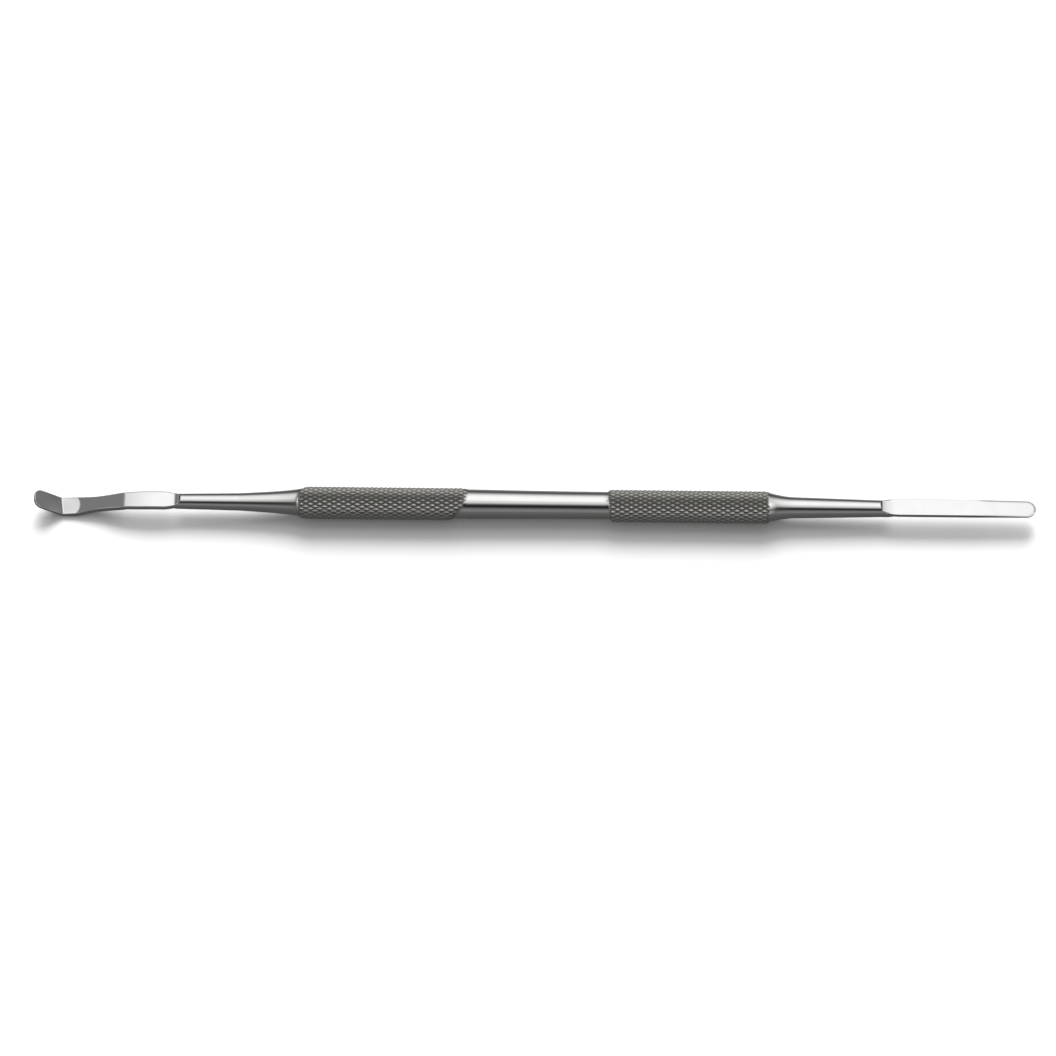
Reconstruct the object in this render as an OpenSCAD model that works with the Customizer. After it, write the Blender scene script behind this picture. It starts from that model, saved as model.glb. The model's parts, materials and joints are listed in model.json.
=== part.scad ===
// Double-ended cuticle pusher: a turned and knurled handle bar with an angled
// pusher end and a straight spatula end, each brazed into a blind bore by a tang.
// +X runs along the handle towards the spatula, +Z is the side that the flats face.
// The origin is on the handle axis, halfway along the whole tool.

/* [Handle bar] */
// Diameter over the crests of the knurled bands
knurl_d = 4.85; // [4.6:0.05:7]
// Length of the knurled band on the pusher side
pusher_knurl_len = 25.05; // [12:0.05:40]
// Length of the knurled band on the spatula side
spatula_knurl_len = 24.05; // [12:0.05:40]
// Chamfer at both ends of each knurled band
knurl_chamfer = 0.12; // [0.02:0.01:0.3]
// Length of the plain polished centre
centre_len = 20.7; // [8:0.1:40]
// Diameter of the plain centre at its pusher side
centre_d_pusher = 4.5; // [3.8:0.05:4.55]
// Diameter of the plain centre at its spatula side
centre_d_spatula = 4.2; // [3.8:0.05:4.55]

/* [Handle ends] */
// Length of the long flare on the pusher side
pusher_flare_len = 9.5; // [4:0.1:16]
// Diameter of the neck where the pusher end joins the handle
pusher_neck_d = 2.63; // [2.3:0.01:3.6]
// Length of the short flare on the spatula side
spatula_flare_len = 3.9; // [2:0.1:12]
// Diameter of the neck where the spatula end joins the handle
spatula_neck_d = 3.18; // [2.3:0.01:3.6]
// Diameter of each flare where it meets the knurled band
flare_top_d = 4.5; // [3.8:0.05:4.55]

/* [Brazed joints] */
// Diameter of both tangs
tang_d = 1.5; // [1:0.05:1.9]
// Length of both tangs
tang_len = 10; // [4:0.5:14]
// Thickness of the braze round each tang
braze_gap = 0.05; // [0.02:0.01:0.1]
// Thickness of the braze pool at the bottom of each bore
braze_pool = 0.3; // [0.1:0.05:1]

/* [Pusher end] */
// Length of the round shank, from the joint to the shoulder
pusher_shank_len = 8.7; // [4:0.1:20]
// Diameter of the shank at the shoulder
pusher_shank_d = 2.3; // [1.8:0.05:2.6]
// Length of the flat behind the bend, with its shoulder
pad_len = 8.5; // [5:0.1:14]
// Width of that flat
pad_w = 2.82; // [2.4:0.02:4]
// Thickness of that flat
pad_t = 0.9; // [0.5:0.05:1.2]
// Height of that flat's middle above the handle axis
pad_rise = 0.17; // [0:0.01:0.3]
// Length of the curved part that drops from the bend to the fold
drop_len = 9.4; // [6:0.1:14]
// How far the fold lies below the flat
drop = 2.2; // [1:0.05:2.2]
// Narrowest width of the curved part
waist_w = 2.24; // [1.6:0.02:2.8]
// Length of the foot along its own slope
foot_len = 5.2; // [3:0.1:8]
// Width of the foot
foot_w = 2.9; // [2.4:0.02:4]
// Angle that the foot rises at
foot_angle = 36; // [20:1:50]
// Thickness at the fold
fold_t = 0.64; // [0.4:0.02:0.9]
// Thickness at the foot's edge
foot_edge_t = 0.36; // [0.2:0.02:0.6]
// Corner radius of the foot
foot_corner_r = 1.15; // [0.4:0.05:1.2]

/* [Spatula end] */
// Length of the round shank, from the joint to the shoulder
spatula_shank_len = 13.1; // [4:0.1:24]
// Diameter of the shank at the shoulder
spatula_shank_d = 2.52; // [1.8:0.02:3]
// Length of the blade from the shoulder to its tip
blade_len = 23; // [12:0.5:35]
// Width of the blade
blade_w = 2.76; // [2.4:0.02:4]
// Thickness of the blade
blade_t = 0.68; // [0.4:0.02:1]
// Height of the blade's middle above the handle axis
blade_rise = 0.31; // [0:0.01:0.4]
// Length over which the blade reaches its full width
blade_flare_len = 3; // [1:0.1:6]

/* [Shoulders] */
// Radius of the scoop behind the pusher's flat
pusher_scoop_r = 1.5; // [1:0.1:4]
// Radius of the scoop behind the spatula blade
spatula_scoop_r = 3.5; // [1.5:0.1:5]

/* [Hidden] */
$fn = 96;

curve_steps = 12;          // straight lengths in each curve
flare_steps = 7;           // straight lengths where the blade widens
long_flare_curve = 4;      // how late the long flare turns out
long_flare_share = 0.36;   // part of the long flare's rise that is curved
short_flare_curve = 1.7;
bore_d = tang_d + 2 * braze_gap;
bore_len = tang_len + braze_pool;
shank_overrun = 3.2;       // round stock left under each scoop
shank_overlap = 1;         // how far a shoulder's outline reaches back over the shank
scoop_inset = 0.1;         // round stock left before each scoop starts
start_inset = 0.3;         // how far each flat starts inside its shank
start_margin = 0.05;
reach = 10;                // longer than any section of the tool is wide

foot_run = foot_len * cos(foot_angle);
total_len = foot_run + drop_len + pad_len + pusher_shank_len + pusher_flare_len
    + pusher_knurl_len + centre_len + spatula_knurl_len
    + spatula_flare_len + spatula_shank_len + blade_len;

// stations along X, from the pusher's tip to the spatula's tip
tip_x = -total_len / 2;
fold_x = tip_x + foot_run;
bend_x = fold_x + drop_len;
pusher_shoulder_x = bend_x + pad_len;
pusher_joint_x = pusher_shoulder_x + pusher_shank_len;
pusher_knurl_x = pusher_joint_x + pusher_flare_len;
centre_x = pusher_knurl_x + pusher_knurl_len;
spatula_knurl_x = centre_x + centre_len;
spatula_flare_x = spatula_knurl_x + spatula_knurl_len;
spatula_joint_x = spatula_flare_x + spatula_flare_len;
spatula_shoulder_x = spatula_joint_x + spatula_shank_len;
blade_tip_x = spatula_shoulder_x + blade_len;

function mix(a, b, t) = a + (b - a) * t;
function ease(t) = (1 - cos(180 * t)) / 2;
function steps(n) = [for (i = [0 : n]) i / n];

// radius of a flare at t, from 0 at the neck to 1 at the knurl
function long_flare(t) =
    (1 - long_flare_share) * t + long_flare_share * pow(t, long_flare_curve);
function short_flare(t) = pow(t, short_flare_curve);

// outline of one knurled band, as [x, radius] points
function band_outline(x, len) = [
    [x, knurl_d / 2 - knurl_chamfer],
    [x + knurl_chamfer, knurl_d / 2],
    [x + len - knurl_chamfer, knurl_d / 2],
    [x + len, knurl_d / 2 - knurl_chamfer]
];

// turns an outline of [x, radius] points about the X axis
module turned(outline) {
    rotate([90, 0, 90])
        rotate_extrude()
            polygon([for (p = outline) [p[1], p[0]]]);
}

// a round bar along X
module bar(x, len, d1, d2) {
    translate([x, 0, 0]) rotate([0, 90, 0]) cylinder(h = len, d1 = d1, d2 = d2);
}

// side outline of a shoulder: full height up to scoop_inset, then down to a flat
module shoulder_outline(d, top, bottom, r) {
    top_x = scoop_inset + sqrt(pow(r, 2) - pow(r - (d / 2 - top), 2));
    bottom_x = scoop_inset + sqrt(pow(r, 2) - pow(r - (d / 2 + bottom), 2));
    difference() {
        translate([-shank_overlap, -d]) square([shank_overlap + shank_overrun, 2 * d]);
        translate([top_x, top + r]) circle(r = r);
        translate([top_x, top]) square([shank_overrun, reach]);
        translate([bottom_x, bottom - r]) circle(r = r);
        translate([bottom_x, bottom - reach]) square([shank_overrun, reach]);
    }
}

// the round stock under the scoops; towards = 1 or -1 along X
module shoulder(x, towards, d, top, bottom, r) {
    translate([x, 0, 0]) rotate([0, 0, towards > 0 ? 0 : 180]) intersection() {
        bar(0, shank_overrun, d, d);
        rotate([90, 0, 0]) translate([0, 0, -reach / 2]) linear_extrude(height = reach)
            shoulder_outline(d, top, bottom, r);
    }
}

// half width of a flat where it starts, hidden inside a shank of diameter d
function start_half_w(d, top) = sqrt(pow(d / 2, 2) - pow(top, 2)) - start_margin;

module handle() {
    pusher_flare = [for (t = steps(curve_steps)) [
        mix(pusher_joint_x, pusher_knurl_x, t),
        mix(pusher_neck_d, flare_top_d, long_flare(t)) / 2
    ]];
    centre = [for (t = steps(curve_steps)) [
        mix(centre_x, spatula_knurl_x, t),
        mix(centre_d_pusher, centre_d_spatula, sin(90 * t)) / 2
    ]];
    spatula_flare = [for (t = steps(curve_steps)) [
        mix(spatula_flare_x, spatula_joint_x, t),
        mix(spatula_neck_d, flare_top_d, short_flare(1 - t)) / 2
    ]];
    color([0.72, 0.72, 0.71]) difference() {
        turned(concat(
            [[pusher_joint_x, 0]],
            pusher_flare,
            band_outline(pusher_knurl_x, pusher_knurl_len),
            centre,
            band_outline(spatula_knurl_x, spatula_knurl_len),
            spatula_flare,
            [[spatula_joint_x, 0]]
        ));
        bar(pusher_joint_x - 1, bore_len + 1, bore_d, bore_d);
        bar(spatula_joint_x - bore_len, bore_len + 1, bore_d, bore_d);
    }
}

// middle line of the pusher seen from the side, as [x, z] points from the shoulder out
pad_start_x = pusher_shoulder_x + start_inset;
middle_line = concat(
    [[pad_start_x, pad_rise]],
    [for (t = steps(curve_steps)) [mix(bend_x, fold_x, t), pad_rise - drop * sin(90 * t)]],
    [[tip_x, pad_rise - drop + foot_len * sin(foot_angle)]]
);
last = len(middle_line) - 1;

function thickness(i) =
    i <= 1 ? pad_t :
    i == last ? foot_edge_t :
    mix(pad_t, fold_t, (i - 1) / curve_steps);
function unit(v) = v / norm(v);
function leg(i) = unit(middle_line[i + 1] - middle_line[i]);
function upright(v) = [v[1], -v[0]];

// the point on the upper (side = 1) or lower (side = -1) face at the middle line's point i
function face_point(i, side) =
    let (before = leg(max(i - 1, 0)), after = leg(min(i, last - 1)),
         n = unit(upright(before) + upright(after)))
    middle_line[i] + side * n * thickness(i) / 2 / (n * upright(after));

// half width of the pusher at x: shoulder, pad, waist, foot
pad_start_half_w = start_half_w(pusher_shank_d, pad_rise + pad_t / 2);
pad_wide_x = pusher_shoulder_x - pad_len * 0.35;
pad_narrow_x = bend_x + pad_len * 0.35;
waist_x = mix(bend_x, fold_x, 0.42);
foot_wide_x = mix(bend_x, fold_x, 0.85);
function between(x, x1, x2, w1, w2) = mix(w1, w2, ease(max(0, min(1, (x - x1) / (x2 - x1)))));
function pusher_half_w(x) =
    x > pad_narrow_x ? between(x, pad_start_x, pad_wide_x, pad_start_half_w, pad_w / 2) :
    x > waist_x ? between(x, pad_narrow_x, waist_x, pad_w / 2, waist_w / 2) :
    between(x, waist_x, foot_wide_x, waist_w / 2, foot_w / 2);

module pusher_outline() {
    stations = [for (t = steps(4 * curve_steps)) mix(pad_start_x, fold_x, t)];
    polygon(concat(
        [for (x = stations) [x, pusher_half_w(x)]],
        [for (i = [len(stations) - 1 : -1 : 0]) [stations[i], -pusher_half_w(stations[i])]]
    ));
    corner_x = tip_x + foot_corner_r * cos(foot_angle);
    translate([corner_x, -foot_w / 2]) square([fold_x - corner_x, foot_w]);
    translate([tip_x, foot_corner_r - foot_w / 2]) square([foot_run, foot_w - 2 * foot_corner_r]);
    for (side = [-1, 1])
        translate([tip_x + foot_corner_r, side * (foot_w / 2 - foot_corner_r)])
            circle(r = foot_corner_r);
}

module pusher_plate() {
    intersection() {
        translate([0, 0, -reach / 2]) linear_extrude(height = reach) pusher_outline();
        rotate([90, 0, 0]) translate([0, 0, -reach / 2]) linear_extrude(height = reach)
            polygon(concat(
                [for (i = [0 : last]) face_point(i, 1)],
                [for (i = [last : -1 : 0]) face_point(i, -1)]
            ));
    }
}

module pusher_end() {
    color([0.78, 0.78, 0.77]) union() {
        bar(pusher_joint_x, tang_len, tang_d, tang_d);
        bar(pusher_shoulder_x, pusher_shank_len, pusher_shank_d, pusher_neck_d);
        shoulder(pusher_shoulder_x, -1, pusher_shank_d,
            pad_rise + pad_t / 2, pad_rise - pad_t / 2, pusher_scoop_r);
        pusher_plate();
    }
}

module blade_outline() {
    round_x = blade_tip_x - blade_w / 2;
    start_x = spatula_shoulder_x - start_inset;
    start_half = start_half_w(spatula_shank_d, blade_rise + blade_t / 2);
    flare = [for (t = steps(flare_steps)) [
        start_x + t * blade_flare_len, mix(start_half, blade_w / 2, sin(90 * t))
    ]];
    polygon(concat(
        flare,
        [[round_x, blade_w / 2], [round_x, -blade_w / 2]],
        [for (i = [flare_steps : -1 : 0]) [flare[i][0], -flare[i][1]]]
    ));
    translate([round_x, 0]) circle(d = blade_w);
}

module spatula_end() {
    top = blade_rise + blade_t / 2;
    bottom = blade_rise - blade_t / 2;
    color([0.78, 0.78, 0.77]) union() {
        bar(spatula_joint_x - tang_len, tang_len, tang_d, tang_d);
        bar(spatula_joint_x, spatula_shank_len, spatula_neck_d, spatula_shank_d);
        shoulder(spatula_shoulder_x, 1, spatula_shank_d, top, bottom, spatula_scoop_r);
        translate([0, 0, bottom]) linear_extrude(height = blade_t) blade_outline();
    }
}

// a cup of braze round a tang that points along towards, with its mouth at x
module braze(x, towards) {
    inner = tang_d / 2;
    outer = bore_d / 2;
    color([0.8, 0.76, 0.62]) turned([for (p = [
        [0, inner], [tang_len, inner], [tang_len, 0], [bore_len, 0], [bore_len, outer], [0, outer]
    ]) [x + towards * p[0], p[1]]]);
}

module pusher_braze() {
    braze(pusher_joint_x, 1);
}

module spatula_braze() {
    braze(spatula_joint_x, -1);
}

handle();
pusher_end();
spatula_end();
pusher_braze();
spatula_braze();
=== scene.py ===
import json
import math

import bmesh
import bpy
import numpy as np
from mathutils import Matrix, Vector


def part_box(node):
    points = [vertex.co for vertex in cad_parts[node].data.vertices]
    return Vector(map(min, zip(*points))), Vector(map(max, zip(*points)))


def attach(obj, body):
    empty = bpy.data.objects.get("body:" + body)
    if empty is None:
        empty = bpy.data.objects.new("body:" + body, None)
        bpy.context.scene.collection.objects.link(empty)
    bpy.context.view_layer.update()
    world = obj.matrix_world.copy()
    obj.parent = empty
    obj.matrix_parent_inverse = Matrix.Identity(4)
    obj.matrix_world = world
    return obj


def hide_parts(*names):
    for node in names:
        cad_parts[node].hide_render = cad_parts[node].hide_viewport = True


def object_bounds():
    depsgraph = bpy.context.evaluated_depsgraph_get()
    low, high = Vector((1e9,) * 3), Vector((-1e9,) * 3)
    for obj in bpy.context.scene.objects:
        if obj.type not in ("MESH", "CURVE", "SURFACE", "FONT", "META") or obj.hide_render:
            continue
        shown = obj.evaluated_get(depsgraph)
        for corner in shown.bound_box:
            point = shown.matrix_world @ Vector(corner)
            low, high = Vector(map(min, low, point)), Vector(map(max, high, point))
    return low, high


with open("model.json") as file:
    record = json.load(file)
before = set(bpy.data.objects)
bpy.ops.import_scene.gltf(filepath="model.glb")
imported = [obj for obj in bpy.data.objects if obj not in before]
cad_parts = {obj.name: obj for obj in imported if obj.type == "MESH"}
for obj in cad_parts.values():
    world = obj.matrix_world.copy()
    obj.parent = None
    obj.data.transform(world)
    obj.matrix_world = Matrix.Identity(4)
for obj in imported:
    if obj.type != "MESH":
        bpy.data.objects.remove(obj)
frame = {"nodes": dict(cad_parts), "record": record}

cadLow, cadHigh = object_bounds()
mm = 0.001

# where things are, in millimetres, all from the frame
handleLow, handleHigh = [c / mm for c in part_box("handle")]
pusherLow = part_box("pusher_end")[0] / mm
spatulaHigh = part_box("spatula_end")[1] / mm
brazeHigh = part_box("pusher_braze")[1] / mm
mounts = {m["name"]: m for m in frame["record"]["mounts"]}
sleeveSeat = mounts["grip_sleeve_seat"]
sleeveX = sleeveSeat["pos_m"][0] / mm
sleeveLength = sleeveSeat["dims"]["length_mm"]
clipX = mounts["clip_seat"]["pos_m"][0] / mm
flatTop = mounts["spatula_flat"]["pos_m"][2] / mm
knurlRadius = sleeveSeat["dims"]["r_mm"]
knurlChamfer = 0.12
pusherJointX, spatulaJointX = handleLow.x, handleHigh.x
pusherTipX, spatulaTipX = pusherLow.x, spatulaHigh.x
spatulaKnurlX = sleeveX - sleeveLength / 2 - knurlChamfer
spatulaFlareX = sleeveX + sleeveLength / 2 + knurlChamfer
centreX = 2 * clipX - spatulaKnurlX
boreRadius = brazeHigh.z
boreLength = brazeHigh.x - pusherJointX


# small helpers

def mix(a, b, t):
    return a + (b - a) * t


def clamp01(t):
    return np.clip(t, 0.0, 1.0)


def smooth(t):
    t = clamp01(t)
    return t * t * (3 - 2 * t)


def meshObject(name, points, faces, materials=()):
    mesh = bpy.data.meshes.new(name)
    mesh.from_pydata([tuple(p) for p in points], [], faces)
    mesh.validate()
    mesh.update()
    for material in materials:
        mesh.materials.append(material)
    piece = bpy.data.objects.new(name, mesh)
    bpy.context.scene.collection.objects.link(piece)
    return piece


def finishPiece(piece, sharpDegrees):
    mesh = piece.data
    shell = bmesh.new()
    shell.from_mesh(mesh)
    bmesh.ops.recalc_face_normals(shell, faces=shell.faces)
    shell.to_mesh(mesh)
    shell.free()
    mesh.shade_smooth()
    mesh.set_sharp_from_angle(angle=math.radians(sharpDegrees))
    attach(piece, "root")
    return piece


# node helpers

def addNode(tree, kind, **settings):
    node = tree.nodes.new(kind)
    inputs = settings.pop("inputs", {})
    for key, value in settings.items():
        setattr(node, key, value)
    for key, value in inputs.items():
        if isinstance(value, bpy.types.NodeSocket):
            tree.links.new(value, node.inputs[key])
        else:
            node.inputs[key].default_value = value
    return node


def math1(tree, operation, *values):
    node = addNode(tree, "ShaderNodeMath", operation=operation)
    for socket, value in zip(node.inputs, values):
        if isinstance(value, bpy.types.NodeSocket):
            tree.links.new(value, socket)
        else:
            socket.default_value = value
    return node.outputs[0]


def ramp(tree, factor, stops, interpolation="LINEAR"):
    node = addNode(tree, "ShaderNodeValToRGB", inputs={"Fac": factor})
    node.color_ramp.interpolation = interpolation
    elements = node.color_ramp.elements
    while len(elements) < len(stops):
        elements.new(0.5)
    for element, (position, value) in zip(elements, stops):
        colour = value if isinstance(value, tuple) else (value, value, value)
        element.position = position
        element.color = (*colour, 1)
    return node.outputs["Color"]


def nodeGroup(name, kind, inputs, outputs):
    tree = bpy.data.node_groups.new(name, kind)
    for socketName, socketKind, value in inputs:
        socket = tree.interface.new_socket(socketName, in_out="INPUT", socket_type=socketKind)
        if value is not None:
            socket.default_value = value
    for socketName, socketKind in outputs:
        tree.interface.new_socket(socketName, in_out="OUTPUT", socket_type=socketKind)
    source = tree.nodes.new("NodeGroupInput")
    target = tree.nodes.new("NodeGroupOutput")
    return tree, source, target


# shader groups shared by the steels

def makePolishLines():
    # hair-fine lines left by a polishing wheel, running across the stretch direction
    tree, source, target = nodeGroup(
        "polishLines", "ShaderNodeTree",
        [("Position", "NodeSocketVector", None), ("Lines per metre", "NodeSocketFloat", 9000.0),
         ("Stretch", "NodeSocketVector", (1.0, 0.02, 0.02))],
        [("Height", "NodeSocketFloat"), ("Mask", "NodeSocketFloat")])
    stretched = addNode(tree, "ShaderNodeVectorMath", operation="MULTIPLY", inputs={
        0: source.outputs["Position"], 1: source.outputs["Stretch"]})
    fine = addNode(tree, "ShaderNodeTexNoise", inputs={
        "Vector": stretched.outputs[0], "Scale": source.outputs["Lines per metre"],
        "Detail": 3.0, "Roughness": 0.6})
    coarseScale = math1(tree, "MULTIPLY", source.outputs["Lines per metre"], 0.13)
    coarse = addNode(tree, "ShaderNodeTexNoise", inputs={
        "Vector": stretched.outputs[0], "Scale": coarseScale, "Detail": 1.0})
    both = math1(tree, "ADD", fine.outputs["Fac"], math1(tree, "MULTIPLY", coarse.outputs["Fac"], 0.5))
    tree.links.new(both, target.inputs["Height"])
    tree.links.new(ramp(tree, fine.outputs["Fac"], [(0.56, 0.0), (0.7, 1.0)]), target.inputs["Mask"])
    return tree


def makeHandling():
    # faint blotches where fingers and cloths have been
    tree, source, target = nodeGroup(
        "handlingMarks", "ShaderNodeTree",
        [("Position", "NodeSocketVector", None), ("Size", "NodeSocketFloat", 260.0)],
        [("Blotch", "NodeSocketFloat")])
    blotch = addNode(tree, "ShaderNodeTexNoise", inputs={
        "Vector": source.outputs["Position"], "Scale": source.outputs["Size"],
        "Detail": 4.0, "Roughness": 0.55, "Distortion": 0.4})
    patches = ramp(tree, blotch.outputs["Fac"], [(0.38, 0.0), (0.66, 1.0)])
    tree.links.new(patches, target.inputs["Blotch"])
    return tree


polishLines = makePolishLines()
handlingMarks = makeHandling()


def startMaterial(name):
    material = bpy.data.materials.new(name)
    material.use_nodes = True
    tree = material.node_tree
    tree.nodes.clear()
    output = tree.nodes.new("ShaderNodeOutputMaterial")
    shader = tree.nodes.new("ShaderNodeBsdfPrincipled")
    tree.links.new(shader.outputs[0], output.inputs["Surface"])
    position = tree.nodes.new("ShaderNodeTexCoord").outputs["Object"]
    return material, tree, shader, position


def useGroup(tree, group, **inputs):
    node = addNode(tree, "ShaderNodeGroup", node_tree=group)
    for key, value in inputs.items():
        socket = node.inputs[key.replace("_", " ")]
        if isinstance(value, bpy.types.NodeSocket):
            tree.links.new(value, socket)
        else:
            socket.default_value = value
    return node


def steelMaterial(name, look):
    material, tree, shader, position = startMaterial(name)
    lines = useGroup(tree, polishLines, Position=position,
                     Lines_per_metre=look["linesPerMetre"], Stretch=look["stretch"])
    marks = useGroup(tree, handlingMarks, Position=position, Size=look["blotchSize"])
    wear = math1(tree, "MULTIPLY", marks.outputs["Blotch"], look["blotchRoughness"])
    scratch = math1(tree, "MULTIPLY", lines.outputs["Mask"], look["lineRoughness"])
    roughness = math1(tree, "ADD", math1(tree, "ADD", wear, scratch), look["roughness"])
    tint = addNode(tree, "ShaderNodeMix", data_type="RGBA", inputs={
        "Factor": math1(tree, "MULTIPLY", marks.outputs["Blotch"], look["blotchTint"])})
    tint.inputs["A"].default_value = (*look["colour"], 1)
    tint.inputs["B"].default_value = (*look["blotchColour"], 1)
    bump = addNode(tree, "ShaderNodeBump", inputs={
        "Height": lines.outputs["Height"], "Strength": look["bump"], "Distance": look["bumpDepth"]})
    tree.links.new(tint.outputs["Result"], shader.inputs["Base Color"])
    tree.links.new(roughness, shader.inputs["Roughness"])
    tree.links.new(bump.outputs[0], shader.inputs["Normal"])
    shader.inputs["Metallic"].default_value = 1.0
    return material


polishedBarLook = {
    "colour": (0.86, 0.855, 0.845), "blotchColour": (0.80, 0.795, 0.78),
    "roughness": 0.03, "blotchRoughness": 0.04, "lineRoughness": 0.05,
    "linesPerMetre": 16000.0, "stretch": (1.0, 0.03, 0.03), "blotchSize": 320.0, "blotchTint": 0.35,
    "bump": 0.06, "bumpDepth": 0.00002,
}
polishedTipLook = {
    "colour": (0.86, 0.858, 0.863), "blotchColour": (0.80, 0.797, 0.802),
    "roughness": 0.05, "blotchRoughness": 0.05, "lineRoughness": 0.06,
    "linesPerMetre": 12000.0, "stretch": (0.04, 1.0, 0.5), "blotchSize": 420.0, "blotchTint": 0.35,
    "bump": 0.12, "bumpDepth": 0.00002,
}
polishedBar = steelMaterial("polishedBarSteel", polishedBarLook)
polishedTip = steelMaterial("polishedTipSteel", polishedTipLook)

# knurl tooth colours are painted light: groove is painted shade in the grooves, crest is a painted
# highlight on the tooth tops, flank lies between
knurlLook = {
    "groove": (0.16, 0.155, 0.14), "flank": (0.46, 0.452, 0.427), "crest": (0.66, 0.655, 0.63),
    "grooveRoughness": 0.55, "crestRoughness": 0.24, "grain": 5200.0, "unevenness": 0.35,
    "blotchSize": 200.0, "blotchRoughness": 0.06, "plainBlotchRoughness": 0.04, "lineRelief": 0.15,
    "bump": 0.35, "bumpDepth": 0.00003,
}


def knurlMaterial(look, plain):
    material, tree, shader, position = startMaterial("knurledSteel")
    height = addNode(tree, "ShaderNodeAttribute", attribute_name="toothHeight").outputs["Fac"]
    knurled = addNode(tree, "ShaderNodeAttribute", attribute_name="knurled").outputs["Fac"]
    cut = ramp(tree, knurled, [(0.02, 0.0), (0.35, 1.0)])
    marks = useGroup(tree, handlingMarks, Position=position, Size=look["blotchSize"])
    lines = useGroup(tree, polishLines, Position=position,
                     Lines_per_metre=plain["linesPerMetre"], Stretch=plain["stretch"])
    grain = addNode(tree, "ShaderNodeTexNoise", inputs={
        "Vector": position, "Scale": look["grain"], "Detail": 4.0, "Roughness": 0.65})
    offset = math1(tree, "SUBTRACT", grain.outputs["Fac"], 0.5)
    uneven = math1(tree, "MULTIPLY", offset, look["unevenness"])
    level = math1(tree, "ADD", height, uneven)
    # the tooth colour paints shade into the grooves and a highlight onto the crests by tooth height,
    # with random unevenness from the grain
    paintedToothShading = ramp(tree, level, [
        (0.05, look["groove"]), (0.45, look["flank"]), (0.92, look["crest"])])
    toothDull = ramp(tree, level, [(0.1, look["grooveRoughness"]), (0.95, look["crestRoughness"])])
    colour = addNode(tree, "ShaderNodeMix", data_type="RGBA", inputs={"Factor": cut})
    colour.inputs["A"].default_value = (*plain["colour"], 1)
    tree.links.new(paintedToothShading, colour.inputs["B"])
    blotch = marks.outputs["Blotch"]
    dull = math1(tree, "ADD", toothDull, math1(tree, "MULTIPLY", blotch, look["blotchRoughness"]))
    polished = math1(tree, "ADD", math1(
        tree, "MULTIPLY", blotch, look["plainBlotchRoughness"]), plain["roughness"])
    roughness = math1(tree, "MULTIPLY_ADD", math1(tree, "SUBTRACT", dull, polished), cut, polished)
    lineRelief = math1(tree, "MULTIPLY", lines.outputs["Height"], look["lineRelief"])
    deeper = math1(tree, "SUBTRACT", grain.outputs["Fac"], lineRelief)
    relief = math1(tree, "MULTIPLY_ADD", deeper, cut, lineRelief)
    bump = addNode(tree, "ShaderNodeBump", inputs={
        "Height": relief, "Strength": look["bump"], "Distance": look["bumpDepth"]})
    tree.links.new(colour.outputs["Result"], shader.inputs["Base Color"])
    tree.links.new(roughness, shader.inputs["Roughness"])
    tree.links.new(bump.outputs[0], shader.inputs["Normal"])
    shader.inputs["Metallic"].default_value = 1.0
    return material


knurledSteel = knurlMaterial(knurlLook, polishedBarLook)


brazeLook = {
    "dark": (0.55, 0.50, 0.38), "light": (0.80, 0.75, 0.60), "grain": 2600.0, "roughness": 0.42,
    "bump": 0.5, "bumpDepth": 0.00003,
}


def brazeMaterial(look):
    material, tree, shader, position = startMaterial("silverBraze")
    grain = addNode(tree, "ShaderNodeTexNoise", inputs={
        "Vector": position, "Scale": look["grain"], "Detail": 5.0})
    colour = ramp(tree, grain.outputs["Fac"], [(0.3, look["dark"]), (0.7, look["light"])])
    bump = addNode(tree, "ShaderNodeBump", inputs={
        "Height": grain.outputs["Fac"], "Strength": look["bump"], "Distance": look["bumpDepth"]})
    tree.links.new(colour, shader.inputs["Base Color"])
    tree.links.new(bump.outputs[0], shader.inputs["Normal"])
    shader.inputs["Metallic"].default_value = 1.0
    shader.inputs["Roughness"].default_value = look["roughness"]
    return material


silverBraze = brazeMaterial(brazeLook)
for nodeName in ("pusher_braze", "spatula_braze"):
    for slot in frame["nodes"][nodeName].material_slots:
        slot.material = silverBraze
print("materials ready")


# handle: turned plain lengths in code, knurled bands by Geometry Nodes

handleSizes = {
    "pusherNeckDiameter": 2.63, "pusherFlareDiameter": 4.3, "pusherFlareLength": 9.5,
    "longFlareShare": 0.36, "longFlarePower": 4, "shortFlarePower": 1.7,
    "spatulaNeckDiameter": 3.18, "flareTopDiameter": 4.5,
    "centreDiameterPusher": 4.5, "centreDiameterSpatula": 4.2,
    "teeth": 20, "pitch": 1.391, "toothDepth": 0.22, "stepsPerTooth": 10,
    "crestFlat": 0.82, "crestRounding": 0.12, "grooveRounding": 0.06,
    "crispRunOut": 0.28, "pusherRunOut": 0.75, "softRunOut": 1.4,
    "earlyStart": 0.9, "pusherSlant": 2.4, "centreSlant": 2.3, "stepSlant": 0.35,
    "pusherSlantAt": -50.0, "undersideAt": 210.0,  # degrees round the bar
    "mergeGap": 0.002, "sharpAngle": 34,
}
pusherKnurlX = pusherJointX + handleSizes["pusherFlareLength"]
around = handleSizes["teeth"] * handleSizes["stepsPerTooth"]


def flareRadius(x):
    # the long flare opens almost straight and turns out late
    s = handleSizes
    t = (x - pusherJointX) / s["pusherFlareLength"]
    opened = (1 - s["longFlareShare"]) * t + s["longFlareShare"] * t ** s["longFlarePower"]
    return mix(s["pusherNeckDiameter"] / 2, s["pusherFlareDiameter"] / 2, opened)


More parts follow.
